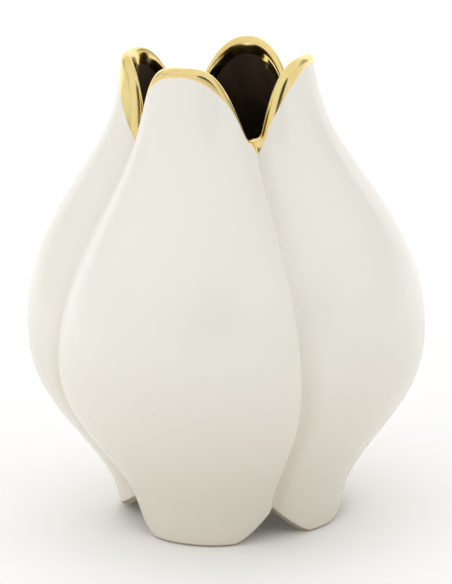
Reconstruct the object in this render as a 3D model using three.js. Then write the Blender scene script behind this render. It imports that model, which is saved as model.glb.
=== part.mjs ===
// A four-petal porcelain vase shaped like a closed tulip.
// Millimetres, +Z up, origin on the table under the middle of the vase.
// Four petal walls stand side by side, each covering a quarter turn. The front and back petals are the
// outer pair: their side edges stand a little proud of the left and right petals. Every wall carries a
// gilded rim on top, a dark glaze lining inside and a bare foot edge below. A floor closes the vessel.
import * as THREE from 'three';

// Driving dimensions
const vaseHeight = 260;
const wallThickness = 6;
const liningThickness = 1.2;
const notchDepth = 40.5;       // how far the rim drops from a petal's tip to the crease beside it
const flankDepth = 50.5;       // how far the rim's flank would drop if the notch didn't stop it
const notchRounding = 4;       // how softly the flank runs out into the notch
const footArchHeight = 16.5;   // how far the foot rises from its flat to the crease
const footEdgeHeight = 2.5;
const floorUnderside = 26;
const floorThickness = 6;
const floorGlazeThickness = 1.2;
const edgeStep = 2.4;          // how far the outer pair of petals stands proud at a crease
const rimRounding = 3;         // radius of the rounded lip, square to the rim's edge
const outerGoldAtTip = 6.2;    // width of the gold, square to the rim's edge
const outerGoldAtCrease = 6.5;
const innerGoldAtTip = 10.5;
const innerGoldAtCrease = 5.5;
const gap = 0.1;               // clearance between neighbouring pieces
const plateClearance = 0.3;    // clearance between the floor's edge and the walls
const seamRadius = 70;         // a petal's side face stands back from the crease by the gap at this radius
const lobePower = 2.6;         // how squarely a petal's cross-section turns towards its creases
const lobeRoundness = 1.33;
const recessPower = 6;         // how sharply a recessed petal sinks near its creases

// Height and outer radius of a petal along its centre line
const bodyStations = [[0, 63], [20, 67], [50, 86], [80, 105.5], [115, 111], [150, 104],
  [185, 85.5], [220, 63], [260, 52.5]];
// Height, and the radius at the crease as a share of the radius at the petal's centre line
const creaseStations = [[0, 0.85], [45, 0.903], [100, 0.898], [150, 0.837], [200, 0.765], [260, 0.78]];

// The four petals in order, each a quarter turn on from the one before. "recess" is how far a petal's
// outer face sinks below its neighbours at the creases. "tipPowers" say how broad the tip is to the left
// and right, and "flankBend" how late its flanks turn steep. The foot stands flat over "footFlat" of the
// half width, to either side of "footMiddle", and rises beyond it with "footPower".
const petals = [
  { place: 'front', recess: 0, tipPowers: [3.7, 3.26], flankBend: 1.6,
    footMiddle: 0, footFlat: 0.5, footPower: 1.35 },
  { place: 'right', recess: edgeStep, tipPowers: [3.5, 3.2], flankBend: 1.4,
    footMiddle: -0.36, footFlat: 0.16, footPower: 1.3 },
  { place: 'back', recess: 0, tipPowers: [2.3, 2.3], flankBend: 1.05,
    footMiddle: 0, footFlat: 0.5, footPower: 1.35 },
  { place: 'left', recess: edgeStep, tipPowers: [3.2, 4.5], flankBend: 1.05,
    footMiddle: -0.17, footFlat: 0.21, footPower: 1.7 },
];

const stepsAcross = 16;
const levelsBelowFloor = 3;
const levelsAboveFloor = 15;
const petalHalfAngle = Math.PI / 4;
const seamAngle = gap / seamRadius;
const lipAngles = [0, 35, 62, 80];
const lipEnd = THREE.MathUtils.degToRad(lipAngles[lipAngles.length - 1]);
const liningBottom = floorUnderside + floorThickness + floorGlazeThickness + 2 * gap;

const whiteGlaze = { colour: [0.84, 0.82, 0.77], roughness: 0.12, metalness: 0 };
const goldLustre = { colour: [0.88, 0.75, 0.43], roughness: 0.18, metalness: 1 };
const darkGlaze = { colour: [0.13, 0.1, 0.07], roughness: 0.1, metalness: 0 };
const bareClay = { colour: [0.72, 0.66, 0.54], roughness: 0.7, metalness: 0 };

// Smooth curve through a list of [height, value] stations: the natural cubic spline, straight at both
// ends, with no jump in slope or curvature. Returns the function that gives the value at a height.
function smoothCurve(stations) {
  const last = stations.length - 1;
  const bend = new Array(last + 1).fill(0);
  const carried = new Array(last + 1).fill(0);
  for (let i = 1; i < last; i += 1) {
    const below = stations[i][0] - stations[i - 1][0];
    const above = stations[i + 1][0] - stations[i][0];
    const slopeBelow = (stations[i][1] - stations[i - 1][1]) / below;
    const slopeAbove = (stations[i + 1][1] - stations[i][1]) / above;
    const pivot = 2 * (below + above) - below * carried[i - 1];
    carried[i] = above / pivot;
    bend[i] = (6 * (slopeAbove - slopeBelow) - below * bend[i - 1]) / pivot;
  }
  for (let i = last - 1; i > 0; i -= 1) {
    bend[i] -= carried[i] * bend[i + 1];
  }
  return (height) => {
    let i = 0;
    while (i < last - 1 && height > stations[i + 1][0]) {
      i += 1;
    }
    const length = stations[i + 1][0] - stations[i][0];
    const after = (height - stations[i][0]) / length;
    const before = 1 - after;
    const straight = before * stations[i][1] + after * stations[i + 1][1];
    const curved = (before ** 3 - before) * bend[i] + (after ** 3 - after) * bend[i + 1];
    return straight + (curved * length ** 2) / 6;
  };
}

const bodyRadius = smoothCurve(bodyStations);
const creaseShareAt = smoothCurve(creaseStations);

// Outer radius of a petal. "side" runs from -1 at one crease through 0 at the centre line to 1 at the
// other crease.
function outerRadius(side, height, recess) {
  const share = Math.abs(side);
  const lobe = (1 - share ** lobePower) ** lobeRoundness;
  const creaseShare = creaseShareAt(height);
  const radius = bodyRadius(height) * (creaseShare + (1 - creaseShare) * lobe);
  return radius - recess * share ** recessPower;
}

// A point at the wall's thickness inside the recessed outer surface, measured square to it, as
// [radius, height]. All four petals share this inner surface.
function innerPoint(side, height) {
  const reach = 2;
  const high = Math.min(height + reach, vaseHeight);
  const low = Math.max(height - reach, 0);
  const run = outerRadius(side, high, edgeStep) - outerRadius(side, low, edgeStep);
  const length = Math.hypot(high - low, run);
  const radius = outerRadius(side, height, edgeStep);
  return [radius - (wallThickness * (high - low)) / length, height + (wallThickness * run) / length];
}

// Radius of the inner surface at a height, found by stepping along the outer surface.
function innerRadius(side, height) {
  let outerHeight = height;
  for (let round = 0; round < 6; round += 1) {
    outerHeight += height - innerPoint(side, outerHeight)[1];
  }
  return innerPoint(side, outerHeight)[0];
}

// The rim drops slowly near the tip and steeply on the flanks, and levels out in the notch.
function rimHeight(side, petal) {
  const share = Math.abs(side);
  const tipPower = petal.tipPowers[side < 0 ? 0 : 1];
  const flank = flankDepth * (1 - (1 - share ** tipPower) ** petal.flankBend);
  const levelled = Math.hypot(notchDepth, notchRounding) - Math.hypot(flank - notchDepth, notchRounding);
  return vaseHeight - (flank + levelled) / 2;
}

// How much longer a vertical cut through the rim is than a cut square to its edge.
function rimSteepness(side, petal) {
  const reach = 0.01;
  const middle = THREE.MathUtils.clamp(side, -1 + reach, 1 - reach);
  const drop = rimHeight(middle - reach, petal) - rimHeight(middle + reach, petal);
  const run = 2 * reach * petalHalfAngle * outerRadius(middle, rimHeight(middle, petal), 0);
  return Math.hypot(drop, run) / run;
}

// The lower edge: flat in the middle of the foot, and rising to the arches at both creases.
function footHeight(side, petal) {
  const offMiddle = side - petal.footMiddle;
  const halfWidth = offMiddle < 0 ? 1 + petal.footMiddle : 1 - petal.footMiddle;
  const beyondFlat = Math.max(Math.abs(offMiddle) - petal.footFlat, 0) / (halfWidth - petal.footFlat);
  return footArchHeight * beyondFlat ** petal.footPower;
}

// How far the gold reaches below the rim on the outer and the inner face.
function goldDepths(side, petal) {
  const share = Math.abs(side);
  const steepness = rimSteepness(side, petal);
  return {
    outer: steepness * THREE.MathUtils.lerp(outerGoldAtTip, outerGoldAtCrease, share),
    inner: steepness * THREE.MathUtils.lerp(innerGoldAtTip, innerGoldAtCrease, share),
  };
}

// A curved slab over one petal's quarter turn. "pairsAt(side)" gives the slab's section there as a list
// of pairs from bottom to top, each an outer and an inner [radius, height].
function slabGeometry(pairsAt) {
  const positions = [];
  const indices = [];
  const sections = [];
  for (let step = 0; step <= stepsAcross; step += 1) {
    const side = -1 + (2 * step) / stepsAcross;
    const angle = side * (petalHalfAngle - seamAngle);
    const section = pairsAt(side).map((pair) => pair.map(([radius, height]) => {
      positions.push(radius * Math.sin(angle), -radius * Math.cos(angle), height);
      return positions.length / 3 - 1;
    }));
    sections.push(section);
  }
  const addQuad = (a, b, c, d) => indices.push(a, b, c, a, c, d);
  const top = sections[0].length - 1;
  for (let step = 0; step < stepsAcross; step += 1) {
    const left = sections[step];
    const right = sections[step + 1];
    for (let level = 0; level < top; level += 1) {
      addQuad(left[level][0], right[level][0], right[level + 1][0], left[level + 1][0]);
      addQuad(left[level][1], left[level + 1][1], right[level + 1][1], right[level][1]);
    }
    addQuad(left[0][0], left[0][1], right[0][1], right[0][0]);
    addQuad(left[top][0], right[top][0], right[top][1], left[top][1]);
  }
  const first = sections[0];
  const final = sections[stepsAcross];
  for (let level = 0; level < top; level += 1) {
    addQuad(first[level][0], first[level + 1][0], first[level + 1][1], first[level][1]);
    addQuad(final[level][0], final[level][1], final[level + 1][1], final[level + 1][0]);
  }
  return closedGeometry(positions, indices);
}

// A round plate whose edge follows the inner face of the four petal walls between two heights.
function plateGeometry(lowHeight, highHeight) {
  const positions = [0, 0, lowHeight, 0, 0, highHeight];
  const indices = [];
  const around = 4 * stepsAcross;
  for (let step = 0; step < around; step += 1) {
    const order = Math.floor(step / stepsAcross);
    const side = -1 + (2 * (step % stepsAcross)) / stepsAcross;
    const angle = (2 * order + side) * petalHalfAngle;
    for (const height of [lowHeight, highHeight]) {
      const radius = innerRadius(side, height) - plateClearance;
      positions.push(radius * Math.sin(angle), -radius * Math.cos(angle), height);
    }
    const low = 2 + 2 * step;
    const nextLow = 2 + 2 * ((step + 1) % around);
    indices.push(0, nextLow, low);
    indices.push(1, low + 1, nextLow + 1);
    indices.push(low, nextLow, nextLow + 1, low, nextLow + 1, low + 1);
  }
  return closedGeometry(positions, indices);
}

function closedGeometry(positions, indices) {
  const geometry = new THREE.BufferGeometry();
  geometry.setAttribute('position', new THREE.Float32BufferAttribute(positions, 3));
  geometry.setIndex(indices);
  geometry.computeVertexNormals();
  return geometry;
}

// Heights of the rows of points on a wall face: even steps from the foot edge to the bottom of the
// lining, and even steps from there to the face's top. Wall and lining share the upper rows.
function rowHeights(lowest, highest) {
  const heights = [];
  for (let level = 0; level < levelsBelowFloor; level += 1) {
    heights.push(THREE.MathUtils.lerp(lowest, liningBottom, level / levelsBelowFloor));
  }
  for (let level = 0; level <= levelsAboveFloor; level += 1) {
    heights.push(THREE.MathUtils.lerp(liningBottom, highest, level / levelsAboveFloor));
  }
  return heights;
}

// The white wall: from the foot edge up to the gold.
function petalWallGeometry(petal) {
  return slabGeometry((side) => {
    const lowest = footHeight(side, petal) + footEdgeHeight + gap;
    const gold = goldDepths(side, petal);
    const outerHeights = rowHeights(lowest, rimHeight(side, petal) - gold.outer - gap);
    const innerHeights = rowHeights(lowest, rimHeight(side, petal) - gold.inner - gap);
    return outerHeights.map((outerHeight, level) => [
      [outerRadius(side, outerHeight, petal.recess), outerHeight],
      [innerRadius(side, innerHeights[level]), innerHeights[level]],
    ]);
  });
}

// The bare foot edge under the wall, flat on the table in the middle of the petal.
function footEdgeGeometry(petal) {
  return slabGeometry((side) => {
    const lowest = footHeight(side, petal);
    return [lowest, lowest + footEdgeHeight].map((height) => [
      [outerRadius(side, height, petal.recess), height],
      [innerRadius(side, height), height],
    ]);
  });
}

// The gilded rim: the top of the wall, with a rounded lip.
function gildedRimGeometry(petal) {
  return slabGeometry((side) => {
    const gold = goldDepths(side, petal);
    const lip = rimHeight(side, petal);
    const rounding = rimRounding * rimSteepness(side, petal);
    const shoulder = lip - rounding;
    const pairs = [[
      [outerRadius(side, lip - gold.outer, petal.recess), lip - gold.outer],
      [innerRadius(side, lip - gold.inner), lip - gold.inner],
    ]];
    const outerShoulder = outerRadius(side, shoulder, petal.recess);
    const innerShoulder = innerRadius(side, shoulder);
    const middle = (outerShoulder + innerShoulder) / 2;
    const halfThickness = (outerShoulder - innerShoulder) / 2;
    for (const degrees of lipAngles) {
      const turn = THREE.MathUtils.degToRad(degrees);
      const height = shoulder + rounding * Math.sin(turn) / Math.sin(lipEnd);
      const reach = halfThickness * Math.cos(turn);
      pairs.push([[middle + reach, height], [middle - reach, height]]);
    }
    return pairs;
  });
}

// The dark glaze inside the wall, from the floor up to the gold.
function liningGeometry(petal) {
  return slabGeometry((side) => {
    const highest = rimHeight(side, petal) - goldDepths(side, petal).inner - gap;
    return rowHeights(0, highest).slice(levelsBelowFloor).map((height) => {
      const radius = innerRadius(side, height) - gap;
      return [[radius, height], [radius - liningThickness, height]];
    });
  });
}

function namedMesh(name, geometry, finish) {
  const color = new THREE.Color().setRGB(...finish.colour, THREE.SRGBColorSpace);
  const { roughness, metalness } = finish;
  const material = new THREE.MeshStandardMaterial({ color, roughness, metalness });
  const mesh = new THREE.Mesh(geometry, material);
  mesh.name = name;
  return mesh;
}

const vase = new THREE.Group();
petals.forEach((petal, order) => {
  const group = new THREE.Group();
  group.add(namedMesh(`petal_${petal.place}`, petalWallGeometry(petal), whiteGlaze));
  group.add(namedMesh(`gilded_rim_${petal.place}`, gildedRimGeometry(petal), goldLustre));
  group.add(namedMesh(`inner_glaze_${petal.place}`, liningGeometry(petal), darkGlaze));
  group.add(namedMesh(`foot_edge_${petal.place}`, footEdgeGeometry(petal), bareClay));
  group.rotation.z = 2 * order * petalHalfAngle;
  vase.add(group);
});

const floorTop = floorUnderside + floorThickness;
const glazeBottom = floorTop + gap;
vase.add(namedMesh('vessel_floor', plateGeometry(floorUnderside, floorTop), bareClay));
const floorGlazeShape = plateGeometry(glazeBottom, glazeBottom + floorGlazeThickness);
vase.add(namedMesh('floor_glaze', floorGlazeShape, darkGlaze));

export default vase;
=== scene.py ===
import math

import bpy
import numpy as np
from mathutils import Matrix, Vector


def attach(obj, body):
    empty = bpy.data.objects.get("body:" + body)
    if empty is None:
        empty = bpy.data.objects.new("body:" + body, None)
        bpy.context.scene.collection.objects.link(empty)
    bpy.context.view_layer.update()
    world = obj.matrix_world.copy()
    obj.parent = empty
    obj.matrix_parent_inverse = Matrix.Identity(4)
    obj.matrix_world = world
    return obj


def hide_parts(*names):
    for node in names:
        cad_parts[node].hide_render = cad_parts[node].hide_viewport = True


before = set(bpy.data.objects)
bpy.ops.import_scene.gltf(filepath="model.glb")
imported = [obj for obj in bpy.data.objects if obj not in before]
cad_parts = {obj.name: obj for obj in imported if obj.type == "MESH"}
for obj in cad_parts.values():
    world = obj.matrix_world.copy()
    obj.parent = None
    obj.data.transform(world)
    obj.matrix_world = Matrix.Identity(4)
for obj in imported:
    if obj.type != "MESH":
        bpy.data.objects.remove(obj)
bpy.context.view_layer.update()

quarterTurn = math.pi / 2
creaseAngle = math.pi / 4

# The body that every petal is cut from, in metres. Heights run up the middle of a petal.
vaseBody = {
    "radiusHeights": [0, 0.020, 0.050, 0.080, 0.115, 0.150, 0.185, 0.220, 0.260],
    "radii": [0.063, 0.067, 0.086, 0.1055, 0.111, 0.104, 0.0855, 0.063, 0.0525],
    "creaseHeights": [0, 0.045, 0.100, 0.150, 0.200, 0.260],
    "creaseShares": [0.85, 0.903, 0.898, 0.837, 0.765, 0.78],  # crease radius over petal radius
    "lobePower": 2.6,
    "lobeRoundness": 1.33,
    "wall": 0.006,
    "step": 0.0024,       # the front and back petals stand this proud at a crease
    "skin": 0.0001,       # every outer face keeps this far inside the CAD faces
    "slopeReach": 0.002,  # slopes are measured over this far up and down
    "recessPower": 6,     # how sharply the inner pair sinks beside a crease
    "tipHeight": 0.2598,  # the gold adds its own thickness above this
    "notchDepth": 0.0405,
    "flankDepth": 0.0505,  # how far the flank would drop if the notch didn't stop it
    "notchRounding": 0.004,
    "innerLip": 1.7,      # depth of the lip's inner rounding over that of its outer one
    "footArch": 0.0165,
    "floorTop": 0.0334,
    "floorUnderside": 0.026,
}

# The four petals in order, a quarter turn apart, starting at the front (-Y). Tip powers are for the
# left and right half, seen from outside, and so are line powers, which shape the gold's brush line.
petals = [
    {"place": "front", "outerPair": True, "tipPowers": (3.7, 3.26), "flankBend": 1.6,
     "footMiddle": 0.0, "footFlat": 0.5, "footPower": 1.35, "linePowers": (2.8, 2.3)},
    {"place": "right", "outerPair": False, "tipPowers": (3.5, 3.2), "flankBend": 1.4,
     "footMiddle": -0.36, "footFlat": 0.16, "footPower": 1.3, "linePowers": (2.3, 2.3)},
    {"place": "back", "outerPair": True, "tipPowers": (2.3, 2.3), "flankBend": 1.05,
     "footMiddle": 0.0, "footFlat": 0.5, "footPower": 1.35, "linePowers": (2.3, 2.3)},
    {"place": "left", "outerPair": False, "tipPowers": (3.2, 4.5), "flankBend": 1.05,
     "footMiddle": -0.17, "footFlat": 0.21, "footPower": 1.7, "linePowers": (2.3, 1.75)},
]


def smoothCurve(heights, values):
    # Natural cubic spline through the stations: the bends solve one small linear system.
    x, y = np.asarray(heights, float), np.asarray(values, float)
    gap = np.diff(x)
    slope = np.diff(y) / gap
    system = np.eye(len(x))
    inner = np.arange(1, len(x) - 1)
    system[inner, inner] = 2 * (gap[:-1] + gap[1:])
    system[inner, inner - 1] = gap[:-1]
    system[inner, inner + 1] = gap[1:]
    bend = np.linalg.solve(system, np.concatenate([[0], 6 * np.diff(slope), [0]]))

    def valueAt(height):
        height = np.asarray(height, float)
        i = np.clip(np.searchsorted(x, height) - 1, 0, len(gap) - 1)
        after = (height - x[i]) / gap[i]
        before = 1 - after
        curved = (before**3 - before) * bend[i] + (after**3 - after) * bend[i + 1]
        return before * y[i] + after * y[i + 1] + curved * gap[i] ** 2 / 6

    return valueAt


bodyRadius = smoothCurve(vaseBody["radiusHeights"], vaseBody["radii"])
creaseShare = smoothCurve(vaseBody["creaseHeights"], vaseBody["creaseShares"])


def smoothStep(start, end, value):
    # Share of the way from start to end, eased at both: 3 share squared - 2 share cubed.
    share = np.clip((value - start) / (end - start), 0, 1)
    return share * share * (3 - 2 * share)


def outerRadius(side, height, recess):
    # Radius = body radius times (crease share + the rest times a lobe that is 1 in mid petal and 0 at a
    # crease), less a recess that grows with a high power of the distance from mid petal.
    share = np.clip(np.abs(side), 0, 1)
    lobe = (1 - share ** vaseBody["lobePower"]) ** vaseBody["lobeRoundness"]
    crease = creaseShare(height)
    sunk = recess * share ** vaseBody["recessPower"] + vaseBody["skin"]
    return bodyRadius(height) * (crease + (1 - crease) * lobe) - sunk


def slantFactor(side, height):
    # How much longer a level cut through the wall is than a square one: root of 1 + slope squared.
    reach = vaseBody["slopeReach"]
    rise = outerRadius(side, height + reach, 0) - outerRadius(side, height - reach, 0)
    return np.sqrt(1 + (rise / (2 * reach)) ** 2)


def innerRadius(side, height):
    # The recessed outer radius less the wall's thickness along the level cut; shared by all petals.
    return outerRadius(side, height, vaseBody["step"]) - vaseBody["wall"] * slantFactor(side, height)


def rimHeight(side, petal):
    # Flank = flank depth times 1 - (1 - side^power)^bend. Drop = the lesser of flank and notch depth,
    # blended by a hyperbola: (flank + root(notch^2 + r^2) - root((flank - notch)^2 + r^2)) / 2.
    share = np.clip(np.abs(side), 0, 1)
    power = np.where(side < 0, *petal["tipPowers"])
    flank = vaseBody["flankDepth"] * (1 - (1 - share**power) ** petal["flankBend"])
    notch, softness = vaseBody["notchDepth"], vaseBody["notchRounding"]
    drop = (flank + np.hypot(notch, softness) - np.hypot(flank - notch, softness)) / 2
    return vaseBody["tipHeight"] - drop


def footHeight(side, petal):
    # Flat round the foot's middle, then rising with the foot power to the same arch at both creases.
    off = np.clip(side, -1, 1) - petal["footMiddle"]
    width = 1 + np.where(off < 0, 1, -1) * petal["footMiddle"] - petal["footFlat"]
    beyond = np.clip(np.abs(off) - petal["footFlat"], 0, None) / width
    return vaseBody["footArch"] * beyond ** petal["footPower"]


def edgeSteepness(curveAt, petal, side, height):
    # A vertical cut through an edge is longer than a square cut by the root of 1 + its slope squared.
    reach = petalGrid["steepnessReach"]
    side = np.clip(side, -1 + reach, 1 - reach)
    drop = curveAt(side - reach, petal) - curveAt(side + reach, petal)
    run = 2 * reach * creaseAngle * outerRadius(side, height, 0)
    return np.sqrt(1 + (drop / run) ** 2)


# The columns of points across a petal
petalGrid = {
    "columns": 121,
    "rollColumns": 10,      # extra columns round the free edge of the front and back petals
    "rollTurn": 68,         # degrees that the free edge turns down through
    "fillet": 0.0007,       # glaze gathered in the crease, on the left and right petals
    "filletWidth": 0.0030,
    "tuck": 0.0012,         # how far the left and right petals tuck under their neighbours
    "steepnessReach": 0.01,  # an edge's slope is measured over this share of a half petal
    "rimReference": 0.218,  # columns at the rim and at the foot stand as they do at these heights
    "footReference": 0.01,
}


def petalColumns(petal):
    # Column positions u follow a sine so that they crowd towards the creases. The free edge of a petal of
    # the outer pair turns down through an arc as deep as the step; the others run on under it.
    u = np.sin(np.linspace(-quarterTurn, quarterTurn, petalGrid["columns"]))
    turn = np.zeros_like(u)
    if petal["outerPair"]:
        roll = np.linspace(0, math.radians(petalGrid["rollTurn"]), petalGrid["rollColumns"] + 1)[1:]
        u = np.concatenate([np.full(len(roll), -1.0), u, np.full(len(roll), 1.0)])
        turn = np.concatenate([-roll[::-1], turn, roll])
    return u[:, None], turn[:, None]


def rollRadius():
    # An arc of this radius drops by the step as it turns through the roll's whole angle.
    return vaseBody["step"] / (1 - math.cos(math.radians(petalGrid["rollTurn"])))


def columnSides(petal, height):
    # Position across the petal, -1 to 1 from crease to crease, of every column at these heights.
    u, turn = petalColumns(petal)
    creaseRadius = outerRadius(1, height, 0)
    if petal["outerPair"]:
        perRadian = rollRadius() / creaseRadius / creaseAngle
        whole = perRadian * math.sin(math.radians(petalGrid["rollTurn"]))
        return u * (1 - whole) + np.sign(u) * perRadian * np.abs(np.sin(turn))
    return u * (1 + petalGrid["tuck"] / creaseRadius / creaseAngle)


def columnRadii(petal, side, height):
    # Inner and outer radius of the wall at every column and height. A free edge drops by r (1 - cos turn);
    # a face that tucks under rises by fillet times (1 - distance / width) squared beside the crease.
    turn = petalColumns(petal)[1]
    if petal["outerPair"]:
        outer = outerRadius(side, height, 0) - rollRadius() * (1 - np.cos(turn))
    else:
        away = (1 - np.abs(side)) * creaseAngle * outerRadius(1, height, 0)
        near = np.clip(1 - away / petalGrid["filletWidth"], 0, 1)
        outer = outerRadius(side, height, vaseBody["step"]) + petalGrid["fillet"] * near**2
    return innerRadius(side, height), outer


def wallPoints(petal, order, across, height):
    # Points of the wall: across runs from -1 on the inner face to 1 on the outer face.
    side = columnSides(petal, height)
    inner, outer = columnRadii(petal, side, height)
    radius = (inner + outer) / 2 + across * (outer - inner) / 2
    angle = side * creaseAngle + order * quarterTurn
    return np.stack([radius * np.sin(angle), -radius * np.cos(angle), height + 0 * radius], axis=-1)


def rimEdge(petal):
    # The rim at every column: its height, its steepness and half the wall's square thickness there.
    side = columnSides(petal, petalGrid["rimReference"])
    height = rimHeight(side, petal)
    inner, outer = columnRadii(petal, side, height)
    half = (outer - inner) / 2 / slantFactor(side, height)
    return side, height, edgeSteepness(rimHeight, petal, side, height), half


def lipPath(petal, outerDrop, innerDrop, lift, points):
    # A path over the rim at even steps of arc length from the lip's crown: sin(turn) across the wall and
    # depth (1 - cos turn) down until a quarter turn, then straight down the face. The depth is half the
    # wall outside and more inside. Drops say how far below the crown it starts and ends, square to the
    # rim, and lift how far it stands off the wall.
    edge, steep, half = rimEdge(petal)[1:]
    innerDepth = half * vaseBody["innerLip"]
    reach = []
    for drop, depth in ((outerDrop, half), (innerDrop, innerDepth)):
        turn = np.arccos(np.clip(1 - drop / depth, 0, 1))
        reach.append(turn * (half + depth) / 2 + np.clip(drop - depth, 0, None))
    share = np.linspace(0, 1, points)[None, :]
    arc = reach[0] * (1 - share) - reach[1] * share
    depth = np.where(arc < 0, innerDepth, half)
    rounding = (half + depth) / 2
    turn = np.clip(np.abs(arc) / rounding, 0, quarterTurn)
    down = depth * (1 - np.cos(turn)) + np.clip(np.abs(arc) - rounding * quarterTurn, 0, None)
    across = np.sign(arc) * np.sin(turn) * (1 + lift / half)
    return across, edge - (down - lift * np.cos(turn)) * steep


def loopGrid(columns, loop):
    # Quads between neighbouring columns round a closed loop of points, and a strip of quads that
    # closes each end by pairing the points of the loop's first half with those of its second.
    index = np.arange(columns * loop).reshape(columns, loop)
    ahead = np.roll(index, -1, axis=1)
    shell = np.stack([index[:-1], index[1:], ahead[1:], ahead[:-1]], axis=-1).reshape(-1, 4)
    low = np.arange(loop // 2 - 1)
    high = loop - 1 - low
    first, final = index[0], index[-1]
    startCap = np.stack([first[low], first[low + 1], first[high - 1], first[high]], axis=-1)
    endCap = np.stack([final[low], final[high], final[high - 1], final[low + 1]], axis=-1)
    return np.concatenate([shell, startCap, endCap]).tolist()


def discGrid(around, rings):
    # Quads between the rings of a closed turned profile whose two ends are single points on the axis.
    index = np.arange(around * rings).reshape(rings, around)
    ahead = np.roll(index, -1, axis=1)
    quads = np.stack([index[:-1], ahead[:-1], ahead[1:], index[1:]], axis=-1).reshape(-1, 4)
    bottomPole, topPole = around * rings, around * rings + 1
    bottom = np.stack([np.full(around, bottomPole), ahead[0], index[0]], axis=-1)
    top = np.stack([np.full(around, topPole), index[-1], ahead[-1]], axis=-1)
    return quads.tolist() + bottom.tolist() + top.tolist()


sharpFrom = 50    # degrees between faces from which an edge is drawn sharp


def makePiece(name, points, faces, material, node, marks):
    # One named object at the origin, with its place in its mesh. Marks are numbers on its points.
    mesh = bpy.data.meshes.new(name)
    mesh.from_pydata(points.reshape(-1, 3).tolist(), [], faces)
    mesh.update()
    mesh.shade_smooth()
    mesh.set_sharp_from_angle(angle=math.radians(sharpFrom))
    for markName, values in marks.items():
        mark = mesh.attributes.new(markName, "FLOAT", "POINT")
        mark.data.foreach_set("value", np.ascontiguousarray(values, dtype=np.float32).ravel())
    mesh.materials.append(material)
    piece = bpy.data.objects.new(name, mesh)
    bpy.context.scene.collection.objects.link(piece)
    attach(piece, "root")
    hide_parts(node)
    return piece


# Materials. A small set of helpers keeps the node trees short. Noises are given as (scale, detail), and
# ranges as (from, to) of the noise that a tone or roughness follows.
class Recipe:
    def __init__(self, name):
        self.material = bpy.data.materials.new(name)
        self.material.use_nodes = True
        self.nodes = self.material.node_tree.nodes
        self.links = self.material.node_tree.links
        self.shader = self.nodes["Principled BSDF"]
        self.place = self.nodes.new("ShaderNodeTexCoord").outputs["Object"]

    def feed(self, socket, value):
        if hasattr(value, "is_linked"):
            self.links.new(value, socket)
        else:
            socket.default_value = value

    def noise(self, scale, detail=2.0, stretch=(1, 1, 1), distortion=0.0):
        mapping = self.nodes.new("ShaderNodeMapping")
        mapping.inputs["Scale"].default_value = stretch
        self.links.new(self.place, mapping.inputs["Vector"])
        node = self.nodes.new("ShaderNodeTexNoise")
        node.inputs["Scale"].default_value = scale
        node.inputs["Detail"].default_value = detail
        node.inputs["Distortion"].default_value = distortion
        self.links.new(mapping.outputs["Vector"], node.inputs["Vector"])
        return node.outputs["Fac"]

    def specks(self, scale):
        node = self.nodes.new("ShaderNodeTexVoronoi")
        node.inputs["Scale"].default_value = scale
        self.links.new(self.place, node.inputs["Vector"])
        return node.outputs["Distance"]

    def mark(self, name):
        node = self.nodes.new("ShaderNodeAttribute")
        node.attribute_name = name
        return node.outputs["Fac"]

    def span(self, value, low, high, toLow=0.0, toHigh=1.0):
        node = self.nodes.new("ShaderNodeMapRange")
        node.interpolation_type = "SMOOTHSTEP"
        for socket, number in zip(("From Min", "From Max", "To Min", "To Max"), (low, high, toLow, toHigh)):
            node.inputs[socket].default_value = number
        self.links.new(value, node.inputs["Value"])
        return node.outputs["Result"]

    def sums(self, how, a, b):
        node = self.nodes.new("ShaderNodeMath")
        node.operation = how
        self.feed(node.inputs[0], a)
        self.feed(node.inputs[1], b)
        return node.outputs["Value"]

    def blend(self, share, first, second):
        node = self.nodes.new("ShaderNodeMix")
        node.data_type = "RGBA"
        self.feed(node.inputs["Factor"], share)
        self.feed(node.inputs["A"], first if hasattr(first, "is_linked") else (*first, 1))
        self.feed(node.inputs["B"], second if hasattr(second, "is_linked") else (*second, 1))
        return node.outputs["Result"]

    def bump(self, height, strength, depth, onto=None):
        node = self.nodes.new("ShaderNodeBump")
        node.inputs["Strength"].default_value = strength
        node.inputs["Distance"].default_value = depth
        self.links.new(height, node.inputs["Height"])
        if onto is not None:
            self.links.new(onto, node.inputs["Normal"])
        return node.outputs["Normal"]

    def heightUp(self):
        node = self.nodes.new("ShaderNodeSeparateXYZ")
        self.links.new(self.place, node.inputs["Vector"])
        return node.outputs["Z"]


whiteGlaze = {
    "upper": (0.838, 0.817, 0.758),
    "lower": (0.748, 0.706, 0.614),   # darker and warmer towards the foot: painted shade, as the lower body gets less light
    "toneHeights": (0.03, 0.15),
    "pooledAndShaded": (0.660, 0.610, 0.490),  # glaze gathered in the creases, deepened by painted crease shade
    "poolShadeFrom": 0.82,                 # share of the way to the crease
    "poolShadeHeights": (0.03, 0.16),
    "poolShadeDepths": (0.85, 0.12),       # strong low down, faint above
    "cloudNoise": (9, 3),
    "cloudRange": (0.35, 0.75),
    "clouds": 0.2,
    "speck": (0.42, 0.33, 0.2),
    "speckScale": 55,
    "speckSizes": (0.035, 0.02),
    "speckPatches": 30,
    "speckPatchRange": (0.55, 0.62),
    "speckDepth": 0.35,
    # bare clay darkened as painted shade, for the shaded recess under the floor and the underside of the
    # foot
    "shadedBareFoot": (0.34, 0.27, 0.17),
    "shadedBareGrain": (0.46, 0.38, 0.26),
    "grainNoise": (900, 3),
    "grainRange": (0.3, 0.7),
    "bareRoughness": 0.75,
    "neckRoughness": 0.10,            # glossiest above the shoulder, softer on the body
    "bodyRoughness": 0.225,
    "glossHeights": (0.15, 0.20),
    "hazeNoise": (60, 4),
    "hazeRange": (0.3, 0.7),
    "haze": (-0.025, 0.035),
    "ior": 1.5,
    "slowNoise": (22, 2),
    "slowBump": (0.35, 0.0006),       # strength and depth
    "fineNoise": (420, 2),
    "fineBump": (0.12, 0.00006),
}


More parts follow.
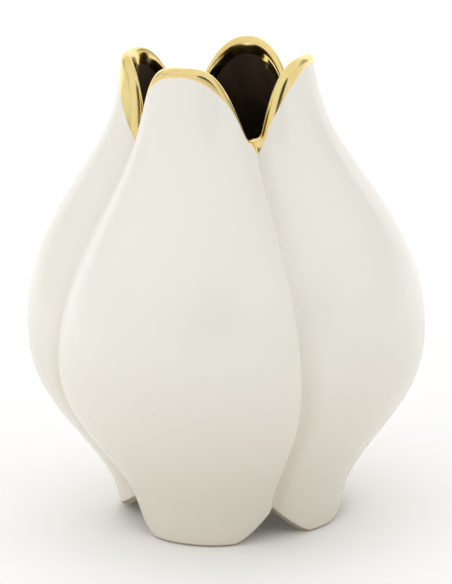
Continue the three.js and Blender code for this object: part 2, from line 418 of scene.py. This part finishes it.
def makeWhiteGlaze():
    # Colour = lower tone (painted shade, darker and warmer at the foot) to upper tone with height, nudged
    # by slow clouds, then
    #  towards the crease tone near the creases (gathered glaze deepened by painted crease shade); sparse
    #  pale-brown specks; bare body, darkened by painted shade, where the mark says the glaze was wiped off.
    # Roughness = body to neck value with height, plus a little haze.
    g = whiteGlaze
    r = Recipe("whiteGlaze")
    # painted shade: the white darkens and warms towards the foot
    up = r.span(r.heightUp(), *g["toneHeights"])
    tone = r.blend(up, g["lower"], g["upper"])
    clouds = r.span(r.noise(*g["cloudNoise"]), *g["cloudRange"], 0.0, g["clouds"])
    tone = r.blend(clouds, tone, g["lower"])
    # painted crease shade together with gathered glaze, strongest low down
    poolAndShadeStrength = r.span(r.heightUp(), *g["poolShadeHeights"], *g["poolShadeDepths"])
    crease = r.sums("MULTIPLY", r.span(r.mark("towardCrease"), g["poolShadeFrom"], 1.0), poolAndShadeStrength)
    tone = r.blend(crease, tone, g["pooledAndShaded"])
    sparse = r.span(r.noise(g["speckPatches"]), *g["speckPatchRange"])
    speck = r.sums("MULTIPLY", r.span(r.specks(g["speckScale"]), *g["speckSizes"]), sparse)
    tone = r.blend(r.sums("MULTIPLY", speck, g["speckDepth"]), tone, g["speck"])
    bare = r.mark("bareBody")
    grain = r.span(r.noise(*g["grainNoise"]), *g["grainRange"])
    # painted shade: this bare clay is a darker copy of the foot pieces' clay
    body = r.blend(grain, g["shadedBareFoot"], g["shadedBareGrain"])
    r.feed(r.shader.inputs["Base Color"], r.blend(bare, tone, body))
    neckUp = r.span(r.heightUp(), *g["glossHeights"], g["bodyRoughness"], g["neckRoughness"])
    haze = r.span(r.noise(*g["hazeNoise"]), *g["hazeRange"], *g["haze"])
    glossy = r.sums("ADD", neckUp, haze)
    rough = r.sums("MAXIMUM", glossy, r.sums("MULTIPLY", bare, g["bareRoughness"]))
    r.feed(r.shader.inputs["Roughness"], rough)
    r.shader.inputs["IOR"].default_value = g["ior"]
    slow = r.bump(r.noise(*g["slowNoise"]), *g["slowBump"])
    r.feed(r.shader.inputs["Normal"], r.bump(r.noise(*g["fineNoise"]), *g["fineBump"], slow))
    return r.material


goldLustre = {
    "bright": (0.985, 0.81, 0.365),
    "deep": (0.86, 0.60, 0.22),   # thinner lustre at the brush line
    "cloudNoise": (45, 3),
    "cloudRange": (0.35, 0.75),
    "clouds": 0.5,
    "lineFrom": 0.8,              # share of the way from the crown to a brush line
    "lineDepth": 0.7,
    "roughness": 0.13,
    "hazeNoise": (120, 4),
    "hazeRange": (0.3, 0.75),
    "haze": (-0.03, 0.09),
    "slowNoise": (90, 2),
    "slowBump": (0.18, 0.0004),
    "fineNoise": (700, 2),
    "fineBump": (0.15, 0.00004),
}


def makeGoldLustre():
    # Colour = bright gold, deeper in slow clouds and along both painted lines; fine brush ripples.
    g = goldLustre
    r = Recipe("goldLustre")
    clouds = r.span(r.noise(*g["cloudNoise"]), *g["cloudRange"], 0.0, g["clouds"])
    tone = r.blend(clouds, g["bright"], g["deep"])
    line = r.sums("MULTIPLY", r.span(r.mark("towardGoldLine"), g["lineFrom"], 1.0), g["lineDepth"])
    r.feed(r.shader.inputs["Base Color"], r.blend(line, tone, g["deep"]))
    r.shader.inputs["Metallic"].default_value = 1.0
    low, high = [g["roughness"] + haze for haze in g["haze"]]
    haze = r.span(r.noise(*g["hazeNoise"]), *g["hazeRange"], low, high)
    r.feed(r.shader.inputs["Roughness"], haze)
    slow = r.bump(r.noise(*g["slowNoise"]), *g["slowBump"])
    r.feed(r.shader.inputs["Normal"], r.bump(r.noise(*g["fineNoise"]), *g["fineBump"], slow))
    return r.material


darkGlaze = {
    "deep": (0.050, 0.036, 0.024),
    "thin": (0.088, 0.060, 0.037),   # browner where the glaze ran thin
    "runNoise": (60, 3),
    "runStretch": (1, 1, 0.25),
    "runBend": 0.4,
    "runRange": (0.4, 0.75),
    "roughness": 0.1,
    "hazeNoise": (150, 3),
    "hazeRange": (0.3, 0.7),
    "haze": (-0.03, 0.08),
    "ior": 1.55,
    "runBump": (0.4, 0.0008),
    "fineNoise": (500, 2),
    "fineBump": (0.15, 0.00006),
}


def makeDarkGlaze():
    # Colour = near black, browner in slow vertical runs; gloss with a little haze; soft ripples.
    g = darkGlaze
    r = Recipe("darkGlaze")
    runs = r.noise(*g["runNoise"], g["runStretch"], g["runBend"])
    tone = r.blend(r.span(runs, *g["runRange"]), g["deep"], g["thin"])
    r.feed(r.shader.inputs["Base Color"], tone)
    low, high = [g["roughness"] + haze for haze in g["haze"]]
    haze = r.span(r.noise(*g["hazeNoise"]), *g["hazeRange"], low, high)
    r.feed(r.shader.inputs["Roughness"], haze)
    r.shader.inputs["IOR"].default_value = g["ior"]
    slow = r.bump(runs, *g["runBump"])
    r.feed(r.shader.inputs["Normal"], r.bump(r.noise(*g["fineNoise"]), *g["fineBump"], slow))
    return r.material


bareClay = {
    "pale": (0.60, 0.52, 0.38),
    "grey": (0.42, 0.35, 0.24),
    "cloudNoise": (40, 3),
    "cloudRange": (0.3, 0.7),
    "clouds": 0.6,
    "grainNoise": (1100, 4),
    "grainRange": (0.45, 0.75),
    "grains": 0.5,
    "roughness": (0.57, 0.85),   # rubbed smooth in patches, sandy elsewhere
    "bump": (0.5, 0.0002),
}


def makeBareClay():
    # Colour = pale fired body, greyer in clouds and fine grain; rough, with sandy bump and rubbed patches.
    g = bareClay
    r = Recipe("bareClay")
    grain = r.noise(*g["grainNoise"])
    clouds = r.noise(*g["cloudNoise"])
    tone = r.blend(r.span(clouds, *g["cloudRange"], 0.0, g["clouds"]), g["pale"], g["grey"])
    tone = r.blend(r.span(grain, *g["grainRange"], 0.0, g["grains"]), tone, g["grey"])
    r.feed(r.shader.inputs["Base Color"], tone)
    r.feed(r.shader.inputs["Roughness"], r.span(clouds, *g["cloudRange"], *g["roughness"]))
    r.feed(r.shader.inputs["Normal"], r.bump(grain, *g["bump"]))
    return r.material


whiteGlazeMaterial = makeWhiteGlaze()
goldLustreMaterial = makeGoldLustre()
darkGlazeMaterial = makeDarkGlaze()
bareClayMaterial = makeBareClay()
print("materials made")

wall = {
    "faceRows": 90,
    "lipPoints": 16,
    "footPoints": 6,
    "outerRounding": 0.002,
    "innerRounding": 0.0013,
    "lift": 0.0002,         # the foot edge's clay carries the wall this far above the table
    "bareUnder": 0.9,       # across the wall: bare from here inwards under the foot,
    "bareUp": 0.002,        # and up to this height above the foot's edge
    "wipedBelow": 0.003,    # inside, the glaze ends this far under the floor
    "rollPoolAndShade": (0.8, 0.2),    # crease tone at the start of a free edge's roll, and its growth: gathered glaze and painted shade
}


def footRounding(petal, radius):
    # Quarter circle from a wall face round to the underside: the place across the wall and the height of
    # its points, with height = foot height + lift + radius times steepness times (1 - sin turn).
    reference = petalGrid["footReference"]
    side = columnSides(petal, reference)
    base = footHeight(side, petal) + wall["lift"]
    steep = edgeSteepness(footHeight, petal, side, reference)
    inner, outer = columnRadii(petal, side, reference)
    turn = np.linspace(0, quarterTurn, wall["footPoints"])[None, :]
    across = 1 - 2 * radius / (outer - inner) * (1 - np.cos(turn))
    return across, base + radius * steep * (1 - np.sin(turn))


def makeWall(petal, order):
    # Section: round the outer foot corner, up the outer face, over the lip, down the inner face and round
    # the inner foot corner. The rows on a face are evenly spaced between foot corner and lip.
    side, edge, steep, half = rimEdge(petal)
    outerFoot, outerFootHeight = footRounding(petal, wall["outerRounding"])
    innerFoot, innerFootHeight = footRounding(petal, wall["innerRounding"])
    innerDepth = half * vaseBody["innerLip"]
    share = np.linspace(0, 1, wall["faceRows"] + 2)[None, 1:-1]
    outerLow, innerLow = outerFootHeight[:, :1], innerFootHeight[:, :1]
    outerRows = outerLow + (edge - half * steep - outerLow) * share
    innerRows = innerLow + (edge - innerDepth * steep - innerLow) * share
    turn = (np.arange(wall["lipPoints"])[None, :] + 0.5) / wall["lipPoints"] * math.pi
    depth = np.where(turn > quarterTurn, innerDepth, half)
    lipHeight = edge - depth * (1 - np.sin(turn)) * steep
    lipAcross = np.cos(turn) + 0 * half
    flat = np.ones_like(outerRows)
    across = np.concatenate([outerFoot[:, ::-1], flat, lipAcross, -flat, -innerFoot], axis=1)
    rows = [outerFootHeight[:, ::-1], outerRows, lipHeight, innerRows[:, ::-1], innerFootHeight]
    height = np.concatenate(rows, axis=1)
    points = wallPoints(petal, order, across, height)
    columns, loop = height.shape
    wiped = smoothStep(vaseBody["floorTop"], vaseBody["floorUnderside"] - wall["wipedBelow"], height)
    underFoot = (across < wall["bareUnder"]) & (height < footHeight(side, petal) + wall["bareUp"])
    # The crease tone, gathered glaze and painted shade, lies beside a crease on the left and right petals,
    # and on the roll of a free edge
    if petal["outerPair"]:
        start, growth = wall["rollPoolAndShade"]
        poolAndShade = start + growth * np.abs(petalColumns(petal)[1])
    else:
        poolAndShade = np.abs(columnSides(petal, height))
    marks = {
        "towardCrease": poolAndShade + 0 * height,
        "bareBody": np.maximum(wiped * (across < 0), underFoot),
    }
    makePiece(f"{petal['place']}_glazed_wall", points, loopGrid(columns, loop), whiteGlazeMaterial,
              f"petal_{petal['place']}", marks)


goldBand = {
    "lineHeight": 0.2547,     # the brush line on the outer face: its height in the middle of a petal,
    "lineDrop": 0.0423,       # how far it has come down at a crease, and the shape of its fall
    "lineBend": 1.25,
    "least": 0.0012,          # narrowest outer band
    "innerAtTip": 0.0105,     # depth of the inner band in mid petal and at a crease,
    "innerAtCrease": 0.0055,
    "innerFall": (0.3, 0.95),  # which it reaches between these shares of the way
    "waver": 0.00012,         # the hand-painted lines sway this much, in a slow and a quick wave
    "waverTurns": (9, 23),
    "quickWaver": 0.6,
    "lift": 0.00011,
    "liftEdge": 0.93,         # the shell dips into the wall from this share of its width
    "liftPower": 8,
    "depth": 0.0004,
    "points": 49,
}


def goldDrops(petal):
    # Brush line height = line height - drop (1 - (1 - side^power)^bend). The band's width is measured from
    # the rim down to it, square to the rim; the inner band narrows from tip to crease. Both lines waver.
    side, edge, steep = rimEdge(petal)[:3]
    share = np.clip(np.abs(side), 0, 1)
    fall = 1 - (1 - share ** np.where(side < 0, *petal["linePowers"])) ** goldBand["lineBend"]
    outer = (edge - goldBand["lineHeight"] + goldBand["lineDrop"] * fall) / steep
    narrow = smoothStep(*goldBand["innerFall"], share)
    inner = goldBand["innerAtTip"] + (goldBand["innerAtCrease"] - goldBand["innerAtTip"]) * narrow
    phase = len(petal["place"])
    slow, quick = goldBand["waverTurns"]
    sway = np.sin(slow * side + phase) + goldBand["quickWaver"] * np.sin(quick * side + 2 * phase)
    waver = goldBand["waver"] * sway
    return np.maximum(outer + waver, goldBand["least"]), inner - waver


def makeGoldRim(petal, order):
    # A thin closed shell over the lip. Its face stands a hair above the wall and dips into it along both
    # brush lines: lift times (1 - a high power of the share of its half width). Its back is sunk.
    outerDrop, innerDrop = goldDrops(petal)
    along = np.abs(np.linspace(-1, 1, goldBand["points"]))
    lift = goldBand["lift"] * (1 - (along / goldBand["liftEdge"]) ** goldBand["liftPower"])[None, :]
    faceAcross, faceHeight = lipPath(petal, outerDrop, innerDrop, lift, len(along))
    backAcross, backHeight = lipPath(petal, outerDrop, innerDrop, 0 * lift - goldBand["depth"], len(along))
    across = np.concatenate([faceAcross, backAcross[:, ::-1]], axis=1)
    height = np.concatenate([faceHeight, backHeight[:, ::-1]], axis=1)
    points = wallPoints(petal, order, across, height)
    columns, loop = height.shape
    marks = {"towardGoldLine": np.tile(np.concatenate([along, along[::-1]]), (columns, 1))}
    makePiece(f"{petal['place']}_gold_lip", points, loopGrid(columns, loop), goldLustreMaterial,
              f"gilded_rim_{petal['place']}", marks)


lining = {
    "rows": 52,
    "lift": 0.00004,
    "depth": 0.0006,
    "underGold": 0.001,     # how far the glaze runs on under the gold
    "bottom": 0.0322,
}


def makeLining(petal, order):
    # A thin closed shell on the inner face, from the floor to just under the gold.
    edge, steep, half = rimEdge(petal)[1:]
    top = edge - (goldDrops(petal)[1] - lining["underGold"]) * steep
    share = np.linspace(0, 1, lining["rows"])[None, :]
    height = lining["bottom"] + (top - lining["bottom"]) * share
    face = -(1 + lining["lift"] / half) + 0 * height
    back = -(1 - lining["depth"] / half) + 0 * height
    across = np.concatenate([back, face[:, ::-1]], axis=1)
    height = np.concatenate([height, height[:, ::-1]], axis=1)
    points = wallPoints(petal, order, across, height)
    makePiece(f"{petal['place']}_dark_lining", points, loopGrid(*height.shape), darkGlazeMaterial,
              f"inner_glaze_{petal['place']}", {})


footEdge = {
    "points": 12,
    "lift": 0.00015,
    "depth": 0.0008,
    "from": 0.30,         # across the wall: the clay shows from here on the underside
    "up": 0.0024,         # and up the inside of the foot to this height
    "thickness": 0.0068,  # of the wall on a level cut near the foot
}


def makeFootEdge(petal, order):
    # A thin closed shell under the foot: across the flat underside, round the inner corner, up the inside.
    # Its face stands off the wall by the lift and its back is sunk by the depth, square to the section.
    corner, cornerHeight = footRounding(petal, wall["innerRounding"])
    corner, cornerHeight = -corner[:, ::-1], cornerHeight[:, ::-1]
    share = np.linspace(0, 1, footEdge["points"])[None, :]
    flatAcross = footEdge["from"] + (corner[:, :1] - footEdge["from"]) * share
    flatHeight = cornerHeight[:, :1] + 0 * share
    upHeight = cornerHeight[:, -1:] + footEdge["up"] * share[:, 1:]
    across = np.concatenate([flatAcross, corner[:, 1:], -np.ones_like(upHeight)], axis=1)
    height = np.concatenate([flatHeight, cornerHeight[:, 1:], upHeight], axis=1)
    flatTurn = np.zeros(footEdge["points"])
    cornerTurn = np.linspace(0, quarterTurn, wall["footPoints"])[1:]
    upTurn = np.full(footEdge["points"] - 1, quarterTurn)
    turn = np.concatenate([flatTurn, cornerTurn, upTurn])[None, :]
    perMetre = 2 / footEdge["thickness"]
    faceAcross = across - footEdge["lift"] * perMetre * np.sin(turn)
    faceHeight = height - footEdge["lift"] * np.cos(turn)
    backAcross = across + footEdge["depth"] * perMetre * np.sin(turn)
    backHeight = height + footEdge["depth"] * np.cos(turn)
    across = np.concatenate([faceAcross, backAcross[:, ::-1]], axis=1)
    height = np.concatenate([faceHeight, backHeight[:, ::-1]], axis=1)
    points = wallPoints(petal, order, across, height)
    makePiece(f"{petal['place']}_clay_foot", points, loopGrid(*height.shape), bareClayMaterial,
              f"foot_edge_{petal['place']}", {})


for order, petal in enumerate(petals):
    makeWall(petal, order)
    makeGoldRim(petal, order)
    makeLining(petal, order)
    makeFootEdge(petal, order)
    print("petal made:", petal["place"])

floorPlate = {
    "perPetal": 48,
    "rings": 20,
    "sunk": 0.001,            # how far the plate's edge is let into the walls
    "top": 0.0322,
    "glazeTop": 0.0336,
    "glazeSunk": 0.0002,
    "meniscus": 0.0025,       # how far the glaze climbs where it meets the walls
    "meniscusPower": 14,
    "underDome": 0.0012,
}


def makeFloorDisc(name, material, node, profile):
    # A disc whose edge follows the inside of the walls: profile is a list of [share of the radius, height].
    around = 4 * floorPlate["perPetal"]
    step = np.arange(around)
    side = -1 + 2 * (step % floorPlate["perPetal"]) / floorPlate["perPetal"]
    angle = (2 * (step // floorPlate["perPetal"]) + side) * creaseAngle
    share, height = np.array(profile).T
    radius = share[:, None] * (innerRadius(side[None, :], height[:, None]) + floorPlate["sunk"])
    level = height[:, None] + 0 * radius
    ring = np.stack([radius * np.sin(angle), -radius * np.cos(angle), level], axis=-1)
    poles = np.array([[0, 0, height[0]], [0, 0, height[-1]]])
    points = np.concatenate([ring.reshape(-1, 3), poles])
    makePiece(name, points, discGrid(around, len(profile)), material, node, {})


shares = np.linspace(0, 1, floorPlate["rings"] + 1)[1:]
dome = vaseBody["floorUnderside"] + floorPlate["underDome"] * (1 - shares**2)
under = [[s, h] for s, h in zip(shares, dome)]
over = [[s, floorPlate["top"]] for s in shares[::-1]]
makeFloorDisc("clay_floor", bareClayMaterial, "vessel_floor", under + over)
climb = floorPlate["glazeTop"] + floorPlate["meniscus"] * shares ** floorPlate["meniscusPower"]
under = [[s, floorPlate["top"] - floorPlate["glazeSunk"]] for s in shares]
over = [[s, h] for s, h in zip(shares[::-1], climb[::-1])]
makeFloorDisc("pooled_floor_glaze", darkGlazeMaterial, "floor_glaze", under + over)
print("floor made")

studio = {
    "floorColour": (0.93, 0.93, 0.93),
    "floorShade": (0.9, 0.9, 0.9),
    "cloudNoise": (3, 2),
    "cloudRange": (0.3, 0.7),
    "clouds": 0.3,
    "roughness": 0.9,
    "floorHalf": 3.0,
    "floorFront": -4.0,
    "sweepStart": 1.6,
    "sweepRadius": 1.0,
    "sweepHeight": 3.2,
    "sweepRows": 24,
    "glow": (0.045, 0.30),       # the paper's own light near the vase and far from it: far paper goes white
    "glowReach": (0.30, 1.05),
}


def makeStage():
    # Floor running back into a curved sweep: straight, then a quarter circle, then up. Its own light
    # grows with the distance from the vase.
    turn = np.linspace(0, quarterTurn, studio["sweepRows"])
    along = [studio["floorFront"], 0.0] + list(studio["sweepStart"] + studio["sweepRadius"] * np.sin(turn))
    up = [0.0, 0.0] + list(studio["sweepRadius"] * (1 - np.cos(turn)))
    along.append(along[-1])
    up.append(studio["sweepHeight"])
    turnStage = math.radians(cameraSetup["turn"])
    across = np.array([-studio["floorHalf"], studio["floorHalf"]])
    back = np.array(along)[:, None]
    x = across * math.cos(turnStage) - back * math.sin(turnStage)
    y = across * math.sin(turnStage) + back * math.cos(turnStage)
    z = np.array(up)[:, None] + 0 * x
    points = np.stack([x, y, z], axis=-1).reshape(-1, 3)
    faces = [[2 * i, 2 * i + 1, 2 * i + 3, 2 * i + 2] for i in range(len(along) - 1)]
    mesh = bpy.data.meshes.new("studioSweep")
    mesh.from_pydata(points.tolist(), [], faces)
    mesh.update()
    mesh.shade_smooth()
    r = Recipe("studioPaper")
    clouds = r.span(r.noise(*studio["cloudNoise"]), *studio["cloudRange"], 0.0, studio["clouds"])
    r.feed(r.shader.inputs["Base Color"], r.blend(clouds, studio["floorColour"], studio["floorShade"]))
    r.shader.inputs["Roughness"].default_value = studio["roughness"]
    r.shader.inputs["Emission Color"].default_value = (1, 1, 1, 1)
    distance = r.nodes.new("ShaderNodeVectorMath")
    distance.operation = "LENGTH"
    r.links.new(r.place, distance.inputs[0])
    glow = r.span(distance.outputs["Value"], *studio["glowReach"], *studio["glow"])
    r.feed(r.shader.inputs["Emission Strength"], glow)
    mesh.materials.append(r.material)
    sweep = bpy.data.objects.new("studioSweep", mesh)
    bpy.context.scene.collection.objects.link(sweep)


cameraSetup = {
    "turn": 20.98,        # degrees the camera stands round from the front petal
    "distance": 1.357,
    "height": 0.5016,
    "aimSide": 0.0011,
    "aimHeight": 0.1259,
    "roll": -1.7246,
    "lens": 157.7,
    "sensor": 36,
    "clip": (0.05, 50),
}


def makeCamera():
    # The camera looks from its stand to the aim point, then turns about its own axis by the roll.
    turn = math.radians(cameraSetup["turn"])
    right = Vector((math.cos(turn), math.sin(turn), 0))
    away = Vector((math.sin(turn), -math.cos(turn), 0))
    stand = away * cameraSetup["distance"] + Vector((0, 0, cameraSetup["height"]))
    aim = right * cameraSetup["aimSide"] + Vector((0, 0, cameraSetup["aimHeight"]))
    back = (stand - aim).normalized()
    across = Vector((0, 0, 1)).cross(back).normalized()
    up = back.cross(across)
    roll = math.radians(cameraSetup["roll"])
    cameraX = across * math.cos(roll) + up * math.sin(roll)
    cameraY = up * math.cos(roll) - across * math.sin(roll)
    lens = bpy.data.cameras.new("camera")
    lens.lens = cameraSetup["lens"]
    lens.sensor_width = cameraSetup["sensor"]
    lens.clip_start, lens.clip_end = cameraSetup["clip"]
    camera = bpy.data.objects.new("camera", lens)
    camera.matrix_world = Matrix.Translation(stand) @ Matrix((cameraX, cameraY, back)).transposed().to_4x4()
    bpy.context.scene.collection.objects.link(camera)
    bpy.context.scene.camera = camera


# Each lamp: side, distance beyond the vase and height as seen from the camera, size and power
lampTarget = (0, 0, 0.14)
lamps = {
    "keyLamp": {"place": (-1.5, -0.9, 1.1), "size": (1.4, 1.6), "power": 4.5},
    "fillLamp": {"place": (1.5, -0.6, 1.2), "size": (1.0, 1.4), "power": 2.5},
    "topLamp": {"place": (0.0, 0.2, 1.8), "size": (1.8, 1.6), "power": 4.7},
}


def makeLamps():
    # Places are in the camera's own left-right, toward-away and up directions; every lamp faces the vase.
    # Glossy surfaces mirror the room and not the lamps, as inside a light tent.
    turn = math.radians(cameraSetup["turn"])
    target = Vector(lampTarget)
    for name, lamp in lamps.items():
        side, depth, up = lamp["place"]
        spot = Vector((side * math.cos(turn) - depth * math.sin(turn),
                       side * math.sin(turn) + depth * math.cos(turn), up))
        light = bpy.data.lights.new(name, "AREA")
        light.shape = "RECTANGLE"
        light.size, light.size_y = lamp["size"]
        light.energy = lamp["power"]
        holder = bpy.data.objects.new(name, light)
        holder.visible_glossy = False
        facing = (target - spot).to_track_quat("-Z", "Y").to_matrix().to_4x4()
        holder.matrix_world = Matrix.Translation(spot) @ facing
        bpy.context.scene.collection.objects.link(holder)


# The tent round the vase: bright cloth with darker openings, each given by its compass bearing from the
# camera's side, its height above the horizon, how far it reaches and how dark it is.
room = {
    "colour": (1.0, 0.995, 0.98),
    "strength": 0.875,
    "horizon": 0.95,          # brightness at the horizon against that overhead,
    "fullFrom": 0.8,          # which it reaches at this height, as a share of overhead
    "softEdge": (1.06, 0.94),  # shares of an opening's reach over which it darkens
    "openingsFrom": (0.04, 0.20),   # the openings fade in over these heights, as shares of overhead
    "openings": [
        {"bearing": 11, "rise": 8, "reach": 24, "depth": 0.93},
        {"bearing": -75, "rise": 12, "reach": 11, "depth": 0.25},
        {"bearing": 118, "rise": 8, "reach": 27, "depth": 0.5},
        {"bearing": -128, "rise": 8, "reach": 28, "depth": 0.32},
    ],
}


def makeRoom():
    # Brightness = horizon level rising to 1 overhead, times (1 - depth) inside each opening. An opening is
    # a disc round its direction, whose lower part fades out towards the horizon.
    world = bpy.data.worlds.new("room")
    world.use_nodes = True
    nodes, links = world.node_tree.nodes, world.node_tree.links
    background = nodes["Background"]
    background.inputs["Color"].default_value = (*room["colour"], 1)
    direction = nodes.new("ShaderNodeTexCoord").outputs["Generated"]
    split = nodes.new("ShaderNodeSeparateXYZ")
    links.new(direction, split.inputs["Vector"])

    def span(value, low, high, toLow, toHigh):
        node = nodes.new("ShaderNodeMapRange")
        node.interpolation_type = "SMOOTHSTEP"
        for socket, number in zip(("From Min", "From Max", "To Min", "To Max"), (low, high, toLow, toHigh)):
            node.inputs[socket].default_value = number
        links.new(value, node.inputs["Value"])
        return node.outputs["Result"]

    def sums(how, a, b):
        node = nodes.new("ShaderNodeMath")
        node.operation = how
        for socket, value in zip(node.inputs, (a, b)):
            if hasattr(value, "is_linked"):
                links.new(value, socket)
            else:
                socket.default_value = value
        return node.outputs["Value"]

    strength = room["strength"]
    level = span(split.outputs["Z"], 0.0, room["fullFrom"], strength * room["horizon"], strength)
    above = span(split.outputs["Z"], *room["openingsFrom"], 0.0, 1.0)
    for opening in room["openings"]:
        bearing = math.radians(cameraSetup["turn"] + opening["bearing"])
        rise = math.radians(opening["rise"])
        middle = (math.sin(bearing) * math.cos(rise), -math.cos(bearing) * math.cos(rise), math.sin(rise))
        dot = nodes.new("ShaderNodeVectorMath")
        dot.operation = "DOT_PRODUCT"
        dot.inputs[1].default_value = middle
        links.new(direction, dot.inputs[0])
        outer, inner = [math.cos(math.radians(opening["reach"] * share)) for share in room["softEdge"]]
        inside = span(dot.outputs["Value"], outer, inner, 0.0, opening["depth"])
        dimming = sums("MULTIPLY", inside, above)
        level = sums("MULTIPLY", level, sums("SUBTRACT", 1.0, dimming))
    links.new(level, background.inputs["Strength"])
    bpy.context.scene.world = world


makeCamera()
makeStage()
makeLamps()
makeRoom()
bpy.context.scene.view_settings.view_transform = "Standard"
print("stage, camera and lamps made")
